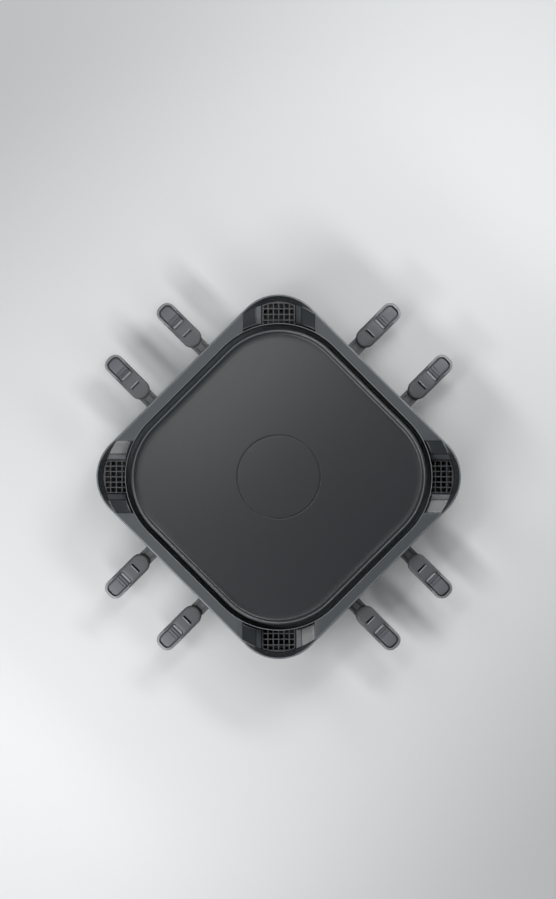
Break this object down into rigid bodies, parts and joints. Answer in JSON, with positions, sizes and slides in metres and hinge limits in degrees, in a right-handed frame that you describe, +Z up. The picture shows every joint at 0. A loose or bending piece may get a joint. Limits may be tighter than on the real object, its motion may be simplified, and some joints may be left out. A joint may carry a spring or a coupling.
{
  "type": "raclette grill",
  "caption": "Square tabletop raclette grill: a lift-off cast plate in a vented housing frame on corner posts, pans that slide out on every side, a thermostat knob and a rear power inlet.",
  "frame": {"origin": "centre of the footprint on the table, under the feet", "axes": "+Z up; +Y to the rear wall with the power inlet; -Y to the front wall with the thermostat knob; +X to the right side"},
  "size_m": [0.534, 0.534, 0.11],
  "materials": {
    "housing_plastic": "satin heat-resistant plastic, slate grey",
    "base_plastic": "satin heat-resistant plastic, dark grey",
    "deck_metal": "non-stick coated sheet",
    "foot_rubber": "matt",
    "screw_steel": "zinc-plated steel",
    "grille_plastic": "satin heat-resistant plastic",
    "sheet_steel": "aluminised steel sheet",
    "element_sheath": "oxidised steel sheath",
    "plate_coating": "cast aluminium with a dark satin non-stick coating",
    "pan_coating": "pressed sheet with a dark non-stick coating",
    "grip_plastic": "matt heat-resistant plastic",
    "pad_rubber": "soft-touch insert",
    "knob_plastic": "satin plastic",
    "switchgear": "moulded insulating plastic and ceramic",
    "lamp_lens": "clear orange lens",
    "inlet_plastic": "satin",
    "pin_brass": "plain",
    "lead_live": "silicone insulation, brown",
    "lead_neutral": "silicone insulation, blue"
  },
  "bodies": {
    "cooker": {"base_shell": "base_plastic", "pan_deck": "deck_metal", "bottom_cover": "base_plastic", "foot_1": "foot_rubber", "foot_2": "foot_rubber", "foot_3": "foot_rubber", "foot_4": "foot_rubber", "cover_screw_1": "screw_steel", "cover_screw_2": "screw_steel", "cover_screw_3": "screw_steel", "cover_screw_4": "screw_steel", "corner_post_1": "base_plastic", "corner_post_2": "base_plastic", "corner_post_3": "base_plastic", "corner_post_4": "base_plastic", "upper_frame": "housing_plastic", "corner_grille_1": "grille_plastic", "corner_grille_2": "grille_plastic", "corner_grille_3": "grille_plastic", "corner_grille_4": "grille_plastic", "heat_shield": "sheet_steel", "heating_element": "element_sheath", "element_bracket_1": "sheet_steel", "element_bracket_2": "sheet_steel", "thermostat": "switchgear", "pilot_lamp": "lamp_lens", "power_inlet": "inlet_plastic", "inlet_pin_live": "pin_brass", "inlet_pin_neutral": "pin_brass", "inlet_pin_earth": "pin_brass", "thermal_cutout": "switchgear", "lead_supply": "lead_live", "lead_neutral": "lead_neutral", "lead_heater": "lead_live"},
    "plate": {"grill_plate": "plate_coating"},
    "knob": {"control_knob": "knob_plastic"},
    "pan_unit_1": {"pan_1": "pan_coating", "pan_grip_1": "grip_plastic", "grip_pad_1": "pad_rubber"},
    "pan_unit_2": {"pan_2": "pan_coating", "pan_grip_2": "grip_plastic", "grip_pad_2": "pad_rubber"},
    "pan_unit_3": {"pan_3": "pan_coating", "pan_grip_3": "grip_plastic", "grip_pad_3": "pad_rubber"},
    "pan_unit_4": {"pan_4": "pan_coating", "pan_grip_4": "grip_plastic", "grip_pad_4": "pad_rubber"},
    "pan_unit_5": {"pan_5": "pan_coating", "pan_grip_5": "grip_plastic", "grip_pad_5": "pad_rubber"},
    "pan_unit_6": {"pan_6": "pan_coating", "pan_grip_6": "grip_plastic", "grip_pad_6": "pad_rubber"},
    "pan_unit_7": {"pan_7": "pan_coating", "pan_grip_7": "grip_plastic", "grip_pad_7": "pad_rubber"},
    "pan_unit_8": {"pan_8": "pan_coating", "pan_grip_8": "grip_plastic", "grip_pad_8": "pad_rubber"}
  },
  "joints": [
    {"name": "plate_lift", "type": "slide", "parent": "cooker", "child": "plate", "axis": [0, 0, 1], "range_m": [0, 0.08]},
    {"name": "knob_turn", "type": "hinge", "parent": "cooker", "child": "knob", "pos_m": [0, -0.1773, 0.026], "axis": [0, 1, 0], "range_deg": [0, 270]},
    {"name": "pan_1_slide", "type": "slide", "parent": "cooker", "child": "pan_unit_1", "axis": [1, 0, 0], "range_m": [0, 0.12]},
    {"name": "pan_2_slide", "type": "slide", "parent": "cooker", "child": "pan_unit_2", "axis": [1, 0, 0], "range_m": [0, 0.12]},
    {"name": "pan_3_slide", "type": "slide", "parent": "cooker", "child": "pan_unit_3", "axis": [0, 1, 0], "range_m": [0, 0.12]},
    {"name": "pan_4_slide", "type": "slide", "parent": "cooker", "child": "pan_unit_4", "axis": [0, 1, 0], "range_m": [0, 0.12]},
    {"name": "pan_5_slide", "type": "slide", "parent": "cooker", "child": "pan_unit_5", "axis": [-1, 0, 0], "range_m": [0, 0.12]},
    {"name": "pan_6_slide", "type": "slide", "parent": "cooker", "child": "pan_unit_6", "axis": [-1, 0, 0], "range_m": [0, 0.12]},
    {"name": "pan_7_slide", "type": "slide", "parent": "cooker", "child": "pan_unit_7", "axis": [0, -1, 0], "range_m": [0, 0.12]},
    {"name": "pan_8_slide", "type": "slide", "parent": "cooker", "child": "pan_unit_8", "axis": [0, -1, 0], "range_m": [0, 0.12]}
  ]
}
